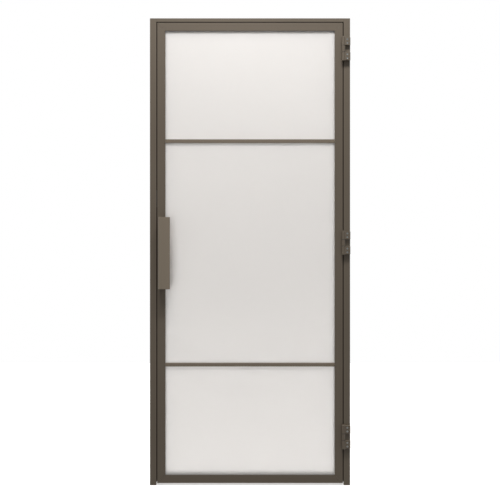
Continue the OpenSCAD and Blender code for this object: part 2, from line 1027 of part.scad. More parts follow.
catch_housing();
catch_magnet();
catch_screws();
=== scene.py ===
# Single glazed swing door in bronze-coated aluminium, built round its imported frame
import math
import bmesh
import bpy
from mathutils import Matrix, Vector


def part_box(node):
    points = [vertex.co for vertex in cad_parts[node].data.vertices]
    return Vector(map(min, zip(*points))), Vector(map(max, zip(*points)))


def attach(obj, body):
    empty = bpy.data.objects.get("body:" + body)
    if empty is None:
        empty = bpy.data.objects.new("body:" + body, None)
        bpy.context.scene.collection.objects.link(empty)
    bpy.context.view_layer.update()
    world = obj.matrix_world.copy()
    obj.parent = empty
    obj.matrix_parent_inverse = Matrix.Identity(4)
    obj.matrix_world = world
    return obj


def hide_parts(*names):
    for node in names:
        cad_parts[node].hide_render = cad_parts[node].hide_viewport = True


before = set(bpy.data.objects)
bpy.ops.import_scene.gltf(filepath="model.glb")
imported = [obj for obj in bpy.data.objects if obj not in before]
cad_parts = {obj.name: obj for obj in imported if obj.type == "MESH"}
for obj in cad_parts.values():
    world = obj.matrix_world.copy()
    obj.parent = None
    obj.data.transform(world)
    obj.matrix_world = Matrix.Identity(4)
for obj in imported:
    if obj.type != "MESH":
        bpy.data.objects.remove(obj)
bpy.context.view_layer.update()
print("frame loaded:", len(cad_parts), "nodes")


# Small tools used all the way through

def mm(value):
    return value * 0.001


def asLinear(hexColour):  # sRGB hex to the linear colour that a shader wants
    channels = [int(hexColour[i:i + 2], 16) / 255 for i in (1, 3, 5)]
    linear = [c / 12.92 if c <= 0.04045 else ((c + 0.055) / 1.055) ** 2.4 for c in channels]
    return (*linear, 1.0)


def addNode(tree, kind, values=None, links=None, **settings):
    # one node with its settings, its plain values and what feeds it
    node = tree.nodes.new(kind)
    for key, value in settings.items():
        setattr(node, key, value)
    for key, value in (values or {}).items():
        node.inputs[key].default_value = value
    for key, source in (links or {}).items():
        tree.links.new(source, node.inputs[key])
    return node


def startMaterial(name):
    material = bpy.data.materials.new(name)
    material.use_nodes = True
    tree = material.node_tree
    tree.nodes.clear()
    place = addNode(tree, "ShaderNodeTexCoord").outputs["Object"]  # metres, in the door's own frame
    return material, tree, place


def endMaterial(material, tree, shader):
    addNode(tree, "ShaderNodeOutputMaterial", None, {"Surface": shader.outputs["BSDF"]})
    return material


# Powder-coated aluminium: polyester powder with a little mica, baked on an extrusion.
# The eye sees a satin bronze with fine orange peel, tiny lighter and darker grains, and
# very faint draw lines along the length of each profile.
coatLook = {
    "profile": ("#594f43", "#756a5c"),   # dark and light shade of the grains
    "hinge": ("#5b5145", "#776c5e"),
    "bar": ("#6d6153", "#8c806f"),
    "pull": ("#746859", "#938777"),
    "peelSize": 1.8,         # mm between crests of the orange peel
    "grainSize": 2.4,        # mm, mica clusters, about ten times real so that they show
    "lineWidth": 3.0,        # mm across a draw line
    "lineLength": 700,       # mm along it
    "driftSize": 420,        # mm, slow change of shade in the oven
    "smoothest": 0.38,
    "roughest": 0.50,
}


def makePowderCoat(name, shades, alongAxis):
    material, tree, place = startMaterial(name)
    squeeze = [1 / mm(coatLook["lineWidth"])] * 3
    squeeze["XYZ".index(alongAxis)] = 1 / mm(coatLook["lineLength"])
    drawn = addNode(tree, "ShaderNodeMapping", {"Scale": squeeze}, {"Vector": place})
    lines = addNode(tree, "ShaderNodeTexNoise", {"Scale": 1.0, "Detail": 2.0},
                    {"Vector": drawn.outputs["Vector"]})
    grain = addNode(tree, "ShaderNodeTexNoise",
                    {"Scale": 1 / mm(coatLook["grainSize"]), "Detail": 5.0, "Roughness": 0.7},
                    {"Vector": place})
    drift = addNode(tree, "ShaderNodeTexNoise",
                    {"Scale": 1 / mm(coatLook["driftSize"]), "Detail": 1.0}, {"Vector": place})
    peel = addNode(tree, "ShaderNodeTexNoise",
                   {"Scale": 1 / mm(coatLook["peelSize"]), "Detail": 1.0}, {"Vector": place})
    linesAndDrift = addNode(tree, "ShaderNodeMix", {0: 0.5},
                            {2: lines.outputs["Fac"], 3: drift.outputs["Fac"]})
    pattern = addNode(tree, "ShaderNodeMix", {0: 0.45},
                      {2: linesAndDrift.outputs[0], 3: grain.outputs["Fac"]})
    colour = addNode(tree, "ShaderNodeMix",
                     {6: asLinear(shades[0]), 7: asLinear(shades[1])},
                     {0: pattern.outputs[0]}, data_type="RGBA")
    rough = addNode(tree, "ShaderNodeMapRange",
                    {"From Min": 0.3, "From Max": 0.7, "To Min": coatLook["smoothest"],
                     "To Max": coatLook["roughest"]}, {"Value": grain.outputs["Fac"]})
    bump = addNode(tree, "ShaderNodeBump", {"Strength": 0.3, "Distance": mm(0.08)},
                   {"Height": peel.outputs["Fac"]})
    shader = addNode(tree, "ShaderNodeBsdfPrincipled",
                     {"Metallic": 0.1, "IOR": 1.5},
                     {"Base Color": colour.outputs[2], "Roughness": rough.outputs["Result"],
                      "Normal": bump.outputs["Normal"]})
    return endMaterial(material, tree, shader)


# Zinc plate on steel screws, pins and plates: bright electroplate with a thin passivate.
# The eye sees a grey metal, a little cloudy, with a faint warm and cold tint in patches.
def makeZincPlate():
    look = {"cold": "#b9bfc6", "warm": "#c9c6b8", "patchSize": 9, "pitSize": 0.5,
            "smoothest": 0.28, "roughest": 0.42}  # sizes in mm
    material, tree, place = startMaterial("zincPlatedSteel")
    patches = addNode(tree, "ShaderNodeTexNoise",
                      {"Scale": 1 / mm(look["patchSize"]), "Detail": 3.0}, {"Vector": place})
    pits = addNode(tree, "ShaderNodeTexNoise",
                   {"Scale": 1 / mm(look["pitSize"]), "Detail": 2.0}, {"Vector": place})
    colour = addNode(tree, "ShaderNodeMix",
                     {6: asLinear(look["cold"]), 7: asLinear(look["warm"])},
                     {0: patches.outputs["Fac"]}, data_type="RGBA")
    rough = addNode(tree, "ShaderNodeMapRange",
                    {"To Min": look["smoothest"], "To Max": look["roughest"]},
                    {"Value": patches.outputs["Fac"]})
    bump = addNode(tree, "ShaderNodeBump", {"Strength": 0.2, "Distance": mm(0.03)},
                   {"Height": pits.outputs["Fac"]})
    shader = addNode(tree, "ShaderNodeBsdfPrincipled", {"Metallic": 1.0},
                     {"Base Color": colour.outputs[2], "Roughness": rough.outputs["Result"],
                      "Normal": bump.outputs["Normal"]})
    return endMaterial(material, tree, shader)


# Mill-finish aluminium of the corner cleats and head blocks: sawn from a pressed bar.
# The eye sees a pale metal with close, straight saw and press lines.
def makeMillAluminium():
    look = {"dark": "#a9abad", "light": "#cdcfd1", "lineWidth": 0.6, "lineLength": 40}  # mm
    material, tree, place = startMaterial("millFinishAluminium")
    fine, long = 1 / mm(look["lineWidth"]), 1 / mm(look["lineLength"])
    pressed = addNode(tree, "ShaderNodeMapping", {"Scale": (fine, long, fine)}, {"Vector": place})
    lines = addNode(tree, "ShaderNodeTexNoise", {"Scale": 1.0, "Detail": 3.0},
                    {"Vector": pressed.outputs["Vector"]})
    colour = addNode(tree, "ShaderNodeMix",
                     {6: asLinear(look["dark"]), 7: asLinear(look["light"])},
                     {0: lines.outputs["Fac"]}, data_type="RGBA")
    rough = addNode(tree, "ShaderNodeMapRange", {"To Min": 0.32, "To Max": 0.5},
                    {"Value": lines.outputs["Fac"]})
    bump = addNode(tree, "ShaderNodeBump", {"Strength": 0.35, "Distance": mm(0.05)},
                   {"Height": lines.outputs["Fac"]})
    shader = addNode(tree, "ShaderNodeBsdfPrincipled", {"Metallic": 1.0},
                     {"Base Color": colour.outputs[2], "Roughness": rough.outputs["Result"],
                      "Normal": bump.outputs["Normal"]})
    return endMaterial(material, tree, shader)


# Black rubber of the gaskets and stop seals: extruded EPDM with a dusting of talc.
# The eye sees a dull black with a soft grey bloom and a slightly grainy skin.
def makeSealRubber():
    look = {"black": "#161617", "bloom": "#2c2c2d", "bloomSize": 14, "skinSize": 0.45}  # mm
    material, tree, place = startMaterial("extrudedRubber")
    bloom = addNode(tree, "ShaderNodeTexNoise",
                    {"Scale": 1 / mm(look["bloomSize"]), "Detail": 4.0}, {"Vector": place})
    skin = addNode(tree, "ShaderNodeTexNoise",
                   {"Scale": 1 / mm(look["skinSize"]), "Detail": 2.0}, {"Vector": place})
    colour = addNode(tree, "ShaderNodeMix",
                     {6: asLinear(look["black"]), 7: asLinear(look["bloom"])},
                     {0: bloom.outputs["Fac"]}, data_type="RGBA")
    rough = addNode(tree, "ShaderNodeMapRange", {"To Min": 0.62, "To Max": 0.85},
                    {"Value": bloom.outputs["Fac"]})
    bump = addNode(tree, "ShaderNodeBump", {"Strength": 0.4, "Distance": mm(0.06)},
                   {"Height": skin.outputs["Fac"]})
    shader = addNode(tree, "ShaderNodeBsdfPrincipled", {"IOR": 1.52, "Specular IOR Level": 0.35},
                     {"Base Color": colour.outputs[2], "Roughness": rough.outputs["Result"],
                      "Normal": bump.outputs["Normal"]})
    return endMaterial(material, tree, shader)


# Black nylon of the bushes, packers and catch housing: injection moulded in a tool whose
# faces were spark eroded. The eye sees an even black with a close, pebbled texture.
def makeMouldedNylon():
    look = {"low": "#1b1c1e", "high": "#292a2c", "pebbleSize": 0.5}  # mm
    material, tree, place = startMaterial("mouldedNylon")
    pebbles = addNode(tree, "ShaderNodeTexVoronoi",
                      {"Scale": 1 / mm(look["pebbleSize"])}, {"Vector": place})
    colour = addNode(tree, "ShaderNodeMix",
                     {6: asLinear(look["low"]), 7: asLinear(look["high"])},
                     {0: pebbles.outputs["Distance"]}, data_type="RGBA")
    rough = addNode(tree, "ShaderNodeMapRange", {"To Min": 0.45, "To Max": 0.58},
                    {"Value": pebbles.outputs["Distance"]})
    bump = addNode(tree, "ShaderNodeBump", {"Strength": 0.3, "Distance": mm(0.05)},
                   {"Height": pebbles.outputs["Distance"]})
    shader = addNode(tree, "ShaderNodeBsdfPrincipled", {"IOR": 1.53},
                     {"Base Color": colour.outputs[2], "Roughness": rough.outputs["Result"],
                      "Normal": bump.outputs["Normal"]})
    return endMaterial(material, tree, shader)


# Acid-etched float glass, both faces satin. Light comes through spread out, so that the
# pane looks milky and even, with a slightly warm grey body.
def makeSatinGlass():
    look = {"body": "#f4f1ee", "cloud": "#eeebe8", "cloudSize": 600, "etchSize": 1.1}  # mm
    material, tree, place = startMaterial("acidEtchedGlass")
    cloud = addNode(tree, "ShaderNodeTexNoise",
                    {"Scale": 1 / mm(look["cloudSize"]), "Detail": 2.0}, {"Vector": place})
    etch = addNode(tree, "ShaderNodeTexNoise",
                   {"Scale": 1 / mm(look["etchSize"]), "Detail": 2.0}, {"Vector": place})
    colour = addNode(tree, "ShaderNodeMix",
                     {6: asLinear(look["cloud"]), 7: asLinear(look["body"])},
                     {0: cloud.outputs["Fac"]}, data_type="RGBA")
    bump = addNode(tree, "ShaderNodeBump", {"Strength": 0.15, "Distance": mm(0.05)},
                   {"Height": etch.outputs["Fac"]})
    shader = addNode(tree, "ShaderNodeBsdfPrincipled",
                     {"Transmission Weight": 0.55, "Roughness": 0.55, "IOR": 1.52},
                     {"Base Color": colour.outputs[2], "Normal": bump.outputs["Normal"]})
    return endMaterial(material, tree, shader)


# Acrylic foam tape that bonds the bars: pale grey, closed cells cut open along its edge.
def makeFoamTape():
    look = {"cell": "#8d8a84", "wall": "#b4b1aa", "cellSize": 0.35}  # mm
    material, tree, place = startMaterial("acrylicFoamTape")
    cells = addNode(tree, "ShaderNodeTexVoronoi",
                    {"Scale": 1 / mm(look["cellSize"])}, {"Vector": place})
    colour = addNode(tree, "ShaderNodeMix",
                     {6: asLinear(look["cell"]), 7: asLinear(look["wall"])},
                     {0: cells.outputs["Distance"]}, data_type="RGBA")
    bump = addNode(tree, "ShaderNodeBump", {"Strength": 0.5, "Distance": mm(0.08)},
                   {"Height": cells.outputs["Distance"]})
    shader = addNode(tree, "ShaderNodeBsdfPrincipled", {"Roughness": 0.85, "IOR": 1.47},
                     {"Base Color": colour.outputs[2], "Normal": bump.outputs["Normal"]})
    return endMaterial(material, tree, shader)


# Nickel plate on the ground magnet: ground flat, then plated. The eye sees a warm bright
# metal with fine grinding lines across it.
def makeNickelPlate():
    look = {"shade": "#a39d92", "bright": "#bcb6aa", "lineWidth": 0.4, "lineLength": 30}  # mm
    material, tree, place = startMaterial("nickelPlate")
    fine, long = 1 / mm(look["lineWidth"]), 1 / mm(look["lineLength"])
    ground = addNode(tree, "ShaderNodeMapping", {"Scale": (fine, long, fine)}, {"Vector": place})
    lines = addNode(tree, "ShaderNodeTexNoise", {"Scale": 1.0, "Detail": 2.0},
                    {"Vector": ground.outputs["Vector"]})
    colour = addNode(tree, "ShaderNodeMix",
                     {6: asLinear(look["shade"]), 7: asLinear(look["bright"])},
                     {0: lines.outputs["Fac"]}, data_type="RGBA")
    rough = addNode(tree, "ShaderNodeMapRange", {"To Min": 0.18, "To Max": 0.32},
                    {"Value": lines.outputs["Fac"]})
    shader = addNode(tree, "ShaderNodeBsdfPrincipled", {"Metallic": 1.0},
                     {"Base Color": colour.outputs[2], "Roughness": rough.outputs["Result"]})
    return endMaterial(material, tree, shader)


uprightCoat = makePowderCoat("powderCoatUpright", coatLook["profile"], "Z")
crossCoat = makePowderCoat("powderCoatCross", coatLook["profile"], "X")
hingeCoat = makePowderCoat("powderCoatHinge", coatLook["hinge"], "Z")
barCoat = makePowderCoat("powderCoatBar", coatLook["bar"], "X")
pullCoat = makePowderCoat("powderCoatPull", coatLook["pull"], "Z")
zincPlate = makeZincPlate()
millAluminium = makeMillAluminium()
sealRubber = makeSealRubber()
mouldedNylon = makeMouldedNylon()
satinGlass = makeSatinGlass()
foamTape = makeFoamTape()
nickelPlate = makeNickelPlate()
print("materials made")


# CAD nodes that stay as they are get the finish of the real piece; most are inside it
keptNodes = {
    "catch_housing": mouldedNylon, "setting_blocks": mouldedNylon, "bar_tapes": foamTape,
    "catch_magnet": nickelPlate,
}
for node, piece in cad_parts.items():
    finish = keptNodes.get(node, zincPlate)
    if node.startswith("hinge_bushes"):
        finish = mouldedNylon
    elif node.startswith(("head_block", "leaf_cleat")):
        finish = millAluminium
    for slot in piece.material_slots:
        slot.material = finish


# Modelling tools. Lengths are in mm, in the door's own frame, until they reach an operator

def clearSelection():
    if bpy.context.object and bpy.context.object.mode != "OBJECT":
        bpy.ops.object.mode_set(mode="OBJECT")
    bpy.ops.object.select_all(action="DESELECT")


def metres(place):
    return [mm(value) for value in place]


def nodeBox(node):
    low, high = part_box(node)
    return Vector(low) * 1000, Vector(high) * 1000


def workOn(piece):
    clearSelection()
    piece.select_set(True)
    bpy.context.view_layer.objects.active = piece


def bakePlace(name):  # the new primitive gets its name, and its place goes into its mesh
    piece = bpy.context.object
    piece.name = piece.data.name = name
    bpy.ops.object.transform_apply(location=True, rotation=True, scale=True)
    return piece


def startBlock(name, low, high):
    clearSelection()
    middle = [(a + b) / 2 for a, b in zip(low, high)]
    bpy.ops.mesh.primitive_cube_add(size=1, location=metres(middle))
    bpy.context.object.scale = [mm(b - a) for a, b in zip(low, high)]
    return bakePlace(name)


def startRod(name, radius, low, high, axis, sides=48, tipRadius=None):
    # a round bar along one axis, or a cone where the far end has its own radius
    clearSelection()
    turn = {"X": (0, math.radians(90), 0), "Y": (math.radians(-90), 0, 0), "Z": (0, 0, 0)}[axis]
    middle = [(a + b) / 2 for a, b in zip(low, high)]
    bpy.ops.mesh.primitive_cone_add(
        vertices=sides, radius1=mm(radius), radius2=mm(radius if tipRadius is None else tipRadius),
        depth=(Vector(metres(high)) - Vector(metres(low))).length,
        location=metres(middle), rotation=turn)
    return bakePlace(name)


def pick(piece, kind, test):
    # selects what passes the test, which gets its middle in mm and its direction
    bpy.ops.mesh.select_mode(type=kind)
    bpy.ops.mesh.select_all(action="DESELECT")
    mesh = bmesh.from_edit_mesh(piece.data)
    if kind == "FACE":
        found = [(f, f.calc_center_median(), f.normal) for f in mesh.faces]
    else:
        found = [(e, (e.verts[0].co + e.verts[1].co) / 2,
                  (e.verts[1].co - e.verts[0].co).normalized()) for e in mesh.edges]
    for item, middle, heading in found:
        if test(middle * 1000, heading):
            item.select_set(True)
    bmesh.update_edit_mesh(piece.data)


def tidyShell(piece):
    bpy.ops.mesh.select_mode(type="VERT")
    bpy.ops.mesh.select_all(action="SELECT")
    bpy.ops.mesh.remove_doubles(threshold=mm(0.002))
    bpy.ops.mesh.dissolve_limited(angle_limit=math.radians(0.5))
    bpy.ops.mesh.select_all(action="SELECT")
    bpy.ops.mesh.fill_holes(sides=0)  # slivers that the step before can leave out
    bpy.ops.mesh.select_all(action="SELECT")
    bpy.ops.mesh.normals_make_consistent(inside=False)
    bpy.ops.object.mode_set(mode="OBJECT")
    return piece


def startSection(name, low, high, voids, length, mitred=False):
    # a length of extrusion that stands on z = 0: a rectangle sawn along every chamber's
    # edges, with the chambers taken out, drawn up to its length and cut at its ends
    clearSelection()
    bpy.ops.mesh.primitive_plane_add(
        size=1, location=(mm(low[0] + high[0]) / 2, mm(low[1] + high[1]) / 2, 0))
    bpy.context.object.scale = (mm(high[0] - low[0]), mm(high[1] - low[1]), 1)
    piece = bakePlace(name)
    bpy.ops.object.mode_set(mode="EDIT")
    for axis in (0, 1):
        for line in sorted({corner[axis] for void in voids for corner in void}):
            if low[axis] < line < high[axis]:
                point, heading = [0, 0, 0], [0, 0, 0]
                point[axis], heading[axis] = mm(line), 1
                bpy.ops.mesh.select_all(action="SELECT")
                bpy.ops.mesh.bisect(plane_co=point, plane_no=heading, threshold=mm(0.001))
    if voids:
        pick(piece, "FACE", lambda middle, normal: any(
            a[0] < middle.x < b[0] and a[1] < middle.y < b[1] for a, b in voids))
        bpy.ops.mesh.delete(type="FACE")
    bpy.ops.mesh.select_all(action="SELECT")
    bpy.ops.mesh.extrude_region_move(TRANSFORM_OT_translate={"value": (0, 0, mm(length))})
    bpy.ops.mesh.select_all(action="SELECT")
    bpy.ops.mesh.normals_make_consistent(inside=False)
    if mitred:
        for end, lean in ((0, -1), (length, 1)):
            bpy.ops.mesh.select_all(action="SELECT")
            bpy.ops.mesh.bisect(plane_co=(0, 0, mm(end)), plane_no=(1, 0, lean), use_fill=True,
                                clear_outer=True, threshold=mm(0.001))
    return tidyShell(piece)


def layAlong(piece, side, low, high):
    # turns a standing length so that its first axis points from that side into the door
    turn, corner = {"lock": (0, (low.x, 0, low.z)), "hinge": (180, (high.x, 0, high.z)),
                    "bottom": (-90, (high.x, 0, low.z)), "top": (90, (low.x, 0, high.z))}[side]
    workOn(piece)
    piece.rotation_euler = (0, math.radians(turn), 0)
    piece.location = metres(corner)
    bpy.ops.object.transform_apply(location=True, rotation=True, scale=True)
    return piece


def combine(piece, tools, operation="DIFFERENCE"):
    for tool in tools:
        step = piece.modifiers.new("combine", "BOOLEAN")
        step.operation, step.solver, step.object = operation, "EXACT", tool
        workOn(piece)
        bpy.ops.object.modifier_apply(modifier=step.name)
        bpy.data.objects.remove(tool)
    bpy.ops.object.mode_set(mode="EDIT")
    return tidyShell(piece)


def bevelPicked(piece, width, segments, test):
    workOn(piece)
    bpy.ops.object.mode_set(mode="EDIT")
    pick(piece, "EDGE", test)
    bpy.ops.mesh.bevel(offset=mm(width), segments=segments, affect="EDGES")
    bpy.ops.object.mode_set(mode="OBJECT")
    return piece


def copyTo(piece, name, shift, turnX=0):
    workOn(piece)
    twin = piece.copy()
    twin.data = piece.data.copy()
    bpy.context.collection.objects.link(twin)
    workOn(twin)
    twin.rotation_euler = (math.radians(turnX), 0, 0)
    twin.location = metres(shift)
    bpy.ops.object.transform_apply(location=True, rotation=True, scale=True)
    twin.name = twin.data.name = name
    return twin


def joinAll(pieces, name):
    workOn(pieces[0])
    for piece in pieces[1:]:
        piece.select_set(True)
    bpy.ops.object.join()
    pieces[0].name = pieces[0].data.name = name
    return pieces[0]


def easeEdges(piece, width, segments=2):
    # every real edge is a little round
    workOn(piece)
    ease = piece.modifiers.new("ease", "BEVEL")
    ease.width, ease.segments = mm(width), segments
    ease.limit_method, ease.angle_limit = "ANGLE", math.radians(35)
    ease.use_clamp_overlap = False
    bpy.ops.object.modifier_apply(modifier=ease.name)
    return piece


def handOver(piece, material, slotName, body, *nodes):
    # smooth round its bends and flat on its flats, then it takes its nodes' place
    workOn(piece)
    bpy.ops.object.shade_smooth_by_angle(angle=math.radians(35))
    even = piece.modifiers.new("even", "WEIGHTED_NORMAL")
    even.keep_sharp = True
    bpy.ops.object.modifier_apply(modifier=even.name)
    piece.data.materials.clear()
    piece.data.materials.append(material)
    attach(piece, body)
    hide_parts(*nodes)


# Frame: two jambs and a head, one extrusion with a stop and a groove for its seal
frameProfile = {"jambFace": 29, "headFace": 16,
                "wall": 2, "front": -20, "stopFront": 24, "back": 50, "stopHeight": 12,
                "grooveFromFace": 8, "grooveHousing": (4, 6.5),   # half width, then depth
                "grooveMouth": (1.25, 3), "grooveChannel": (2.5, 5), "ease": 0.4,
                "fixingRadius": 4, "fixingDepth": 37, "fixingFromEnd": (150, 750),
                "headFixings": (-250, 250), "accessRadius": 5.5, "accessDepths": (-8, 12),
                "accessFromTop": 8, "copeLine": 0.15}


def makeFrameLength(name, node, side, faceWidth):
    look = frameProfile
    low, high = nodeBox(node)
    deep, groove = faceWidth + look["stopHeight"], faceWidth + look["grooveFromFace"]
    stop, wall = look["stopFront"], look["wall"]
    housing, housingDepth = look["grooveHousing"]
    mouth, mouthDepth = look["grooveMouth"]
    channel, channelDepth = look["grooveChannel"]
    voids = [((faceWidth, look["front"]), (deep, stop)),
             ((wall, look["front"] + wall), (faceWidth - wall, stop)),
             ((wall, stop + wall), (groove - housing, look["back"] - wall)),
             ((groove - housing, stop + housingDepth), (deep - wall, look["back"] - wall)),
             ((groove - mouth, stop), (groove + mouth, stop + mouthDepth)),
             ((groove - channel, stop + wall), (groove + channel, stop + channelDepth))]
    length = high.z - low.z if side in ("lock", "hinge") else high.x - low.x
    piece = startSection(name, (0, look["front"]), (deep, look["back"]), voids, length)
    return layAlong(piece, side, low, high)


for side in ("lock", "hinge"):
    node = f"jamb_{side}_side"
    low, high = nodeBox(node)
    jamb = makeFrameLength(f"jamb{side.capitalize()}Side", node, side, frameProfile["jambFace"])
    look = frameProfile
    heights = [z for rise in look["fixingFromEnd"] for z in (rise, high.z - rise)]
    drills = [startRod("drill", look["fixingRadius"], (low.x - 5, look["fixingDepth"], z),
                       (high.x + 5, look["fixingDepth"], z), "X", 32) for z in heights]
    outer = low.x if side == "lock" else high.x
    accessZ = high.z - look["accessFromTop"]
    drills += [startRod("drill", look["accessRadius"], (outer - 3, y, accessZ),
                        (outer + 3, y, accessZ), "X", 32) for y in look["accessDepths"]]
    combine(easeEdges(jamb, look["ease"]), drills)
    handOver(jamb, uprightCoat, "bronze_coat", "frame", node)

low, high = nodeBox("head")
head = makeFrameLength("headLength", "head", "top", frameProfile["headFace"])
stopInner = nodeBox("jamb_hinge_side")[0].x - frameProfile["copeLine"]
stopPlane = frameProfile["stopFront"] - frameProfile["copeLine"]
copes = [startBlock("cope", (min(a, b), stopPlane, low.z - 1), (max(a, b), high.y + 1, high.z + 1))
         for a, b in ((stopInner, high.x + 1), (-stopInner, low.x - 1))]
fixings = [startRod("drill", frameProfile["fixingRadius"], (x, frameProfile["fixingDepth"], low.z - 5),
                    (x, frameProfile["fixingDepth"], high.z + 5), "Z", 32)
           for x in frameProfile["headFixings"]]
combine(easeEdges(combine(head, copes), frameProfile["ease"]), fixings)
handOver(head, crossCoat, "bronze_coat", "frame", "head")
print("frame made")


# Leaf: one extrusion mitred at the corners, with a bead that snaps between its two ribs
leafProfile = {"low": (0, -20), "high": (36, 20),
               "voids": [((2, -18), (22, 18)), ((24, -17), (36, 3)), ((27, 3), (36, 4.5)),
                         ((24, 4.5), (36, 13)), ((27, 13), (36, 14.5)), ((24, 14.5), (36, 20))],
               "ease": 0.4}
beadProfile = {"low": (0, -3), "high": (11.8, 20),
               "voids": [((0, -1.5), (10.3, 4.7)), ((0, 6.2), (10.3, 11.3)),
                         ((0, 12.8), (10.3, 18.5))], "ease": 0.3}
sides = {"lock": "lock_side", "hinge": "hinge_side", "top": "top", "bottom": "bottom"}
for side, ending in sides.items():
    upright = side in ("lock", "hinge")
    coat = uprightCoat if upright else crossCoat
    for look, node in ((leafProfile, ("stile_" if upright else "rail_") + ending),
                       (beadProfile, "bead_" + ending)):
        low, high = nodeBox(node)
        length = high.z - low.z if upright else high.x - low.x
        piece = startSection(node.split("_")[0] + side.capitalize(), look["low"], look["high"],
                             look["voids"], length, mitred=True)
        layAlong(piece, side, low, high)
        handOver(easeEdges(piece, look["ease"]), coat, "bronze_coat", "leaf", node)
print("leaf frame made")


# Glazing: the pane with ground arrises, a gasket on each side of it, and the glued bars
glazing = {"arris": 1.0, "gasketWidth": 8.2, "gasketRound": 0.8, "barBevel": 0.8, "barEase": 0.25}
pane = startBlock("pane", *nodeBox("glass_pane"))
handOver(easeEdges(pane, glazing["arris"], 1), satinGlass, "satin_glass", "leaf", "glass_pane")
for face in ("front", "back"):
    node = f"glass_gasket_{face}"
    low, high = nodeBox(node)
    gasket = startBlock(f"gasket{face.capitalize()}", low, high)
    inset = Vector((glazing["gasketWidth"], 0, glazing["gasketWidth"]))
    combine(gasket, [startBlock("opening", low + inset - Vector((0, 1, 0)),
                                high - inset + Vector((0, 1, 0)))])
    handOver(easeEdges(gasket, glazing["gasketRound"], 3), sealRubber, "seal_rubber", "leaf", node)
    for level in ("upper", "lower"):
        node = f"bar_{face}_{level}"
        low, high = nodeBox(node)
        outerFace = low.y if face == "front" else high.y
        bar = startBlock(f"bar{face.capitalize()}{level.capitalize()}", low, high)
        bevelPicked(bar, glazing["barBevel"], 1, lambda middle, heading:
                    abs(heading.x) > 0.9 and abs(middle.y - outerFace) < 0.1)
        handOver(easeEdges(bar, glazing["barEase"]), barCoat, "bronze_bar", "leaf", node)
print("glazing made")


# Stop seals: a foot in the groove and a soft hollow bulb that meets the leaf
sealProfile = {"width": 5, "front": 20.3, "back": 28.6, "bulbRound": 1.5, "footHalf": 408,
               "trimDepths": (24, 30)}
sealVoids = [((1, 21.3), (4, 23)), ((0, 24), (1.45, 26.2)), ((3.55, 24), (5, 26.2)),
             ((0, 26.2), (0.3, 28.6)), ((4.7, 26.2), (5, 28.6))]
for side, node in (("lock", "stop_seal_lock_side"), ("hinge", "stop_seal_hinge_side"),
                   ("top", "stop_seal_head")):
    low, high = nodeBox(node)
    length = high.z - low.z if side != "top" else high.x - low.x
    seal = startSection("seal" + side.capitalize(), (0, sealProfile["front"]),
                        (sealProfile["width"], sealProfile["back"]), sealVoids, length)
    bevelPicked(seal, sealProfile["bulbRound"], 4, lambda middle, heading:
                abs(heading.z) > 0.9 and abs(middle.y - sealProfile["front"]) < 0.1)
    layAlong(seal, side, low, high)
    if side == "top":
        half = sealProfile["footHalf"]
        trimFront, trimBack = sealProfile["trimDepths"]
        combine(seal, [startBlock("trim", (min(a, b), trimFront, low.z - 1),
                                  (max(a, b), trimBack, high.z + 1))
                       for a, b in ((half, high.x + 1), (-half, low.x - 1))])
    handOver(seal, sealRubber, "seal_rubber", "frame", node)
print("seals made")


# Pulls: 4 mm plate bent twice on a press, holes drilled after
pull = {"plate": 4, "bend": 6, "steps": 10, "ease": 0.6, "boltX": -399, "boltFromEnd": 30,
        "tappedRadius": 2.5, "clearRadius": 2.75, "faceY": 20, "frontFlange": -391,
        "backFlange": -391.5,
        "bolt": (2.45, 4.75, 3, 47.5, 1.8)}  # shank, head radius, head height, length, socket


def bendPull(name, node, flangeStart, flangeEnd, faceY, outward, secondTurn, holeRadius):
    # plan of the plate, drawn as an edge that is pushed on and spun round each bend
    low, high = nodeBox(node)
    plate, bend = pull["plate"], pull["bend"]
    near, far = sorted((faceY, faceY + outward * plate))
    clearSelection()
    bpy.ops.mesh.primitive_plane_add(
        size=1, location=(mm(flangeStart + flangeEnd) / 2, mm(near + far) / 2, mm(low.z)))
    bpy.context.object.scale = (mm(abs(flangeEnd - flangeStart)), mm(plate), 1)
    piece = bakePlace(name)
    bpy.ops.object.mode_set(mode="EDIT")
    pick(piece, "EDGE", lambda middle, heading: abs(middle.x - flangeEnd) < 0.01)
    way = 1 if flangeEnd > flangeStart else -1
    bendY = faceY + outward * bend
    outerY = low.y if outward < 0 else high.y
    secondY = outerY - outward * bend
    webOuter = flangeEnd + way * bend
    firstTurn = way * outward
    bpy.ops.mesh.spin(steps=pull["steps"], angle=math.radians(-90) * firstTurn,
                      center=metres((flangeEnd, bendY, low.z)), axis=(0, 0, 1))
    bpy.ops.mesh.extrude_region_move(TRANSFORM_OT_translate={"value": (0, mm(secondY - bendY), 0)})
    secondX = flangeEnd if way < 0 else webOuter - plate + bend
    bpy.ops.mesh.spin(steps=pull["steps"], angle=math.radians(-90) * secondTurn,
                      center=metres((secondX, secondY, low.z)), axis=(0, 0, 1))
    bpy.ops.mesh.extrude_region_move(TRANSFORM_OT_translate={"value": (mm(high.x - secondX), 0, 0)})
    bpy.ops.mesh.select_all(action="SELECT")
    bpy.ops.mesh.remove_doubles(threshold=mm(0.002))
    bpy.ops.mesh.extrude_region_move(TRANSFORM_OT_translate={"value": (0, 0, mm(high.z - low.z))})
    tidyShell(piece)
    heights = (low.z + pull["boltFromEnd"], high.z - pull["boltFromEnd"])
    combine(piece, [startRod("drill", holeRadius, (pull["boltX"], near - 2, z),
                             (pull["boltX"], far + 2, z), "Y", 32) for z in heights])
    handOver(easeEdges(piece, pull["ease"], 3), pullCoat, "bronze_pull", "leaf", node)


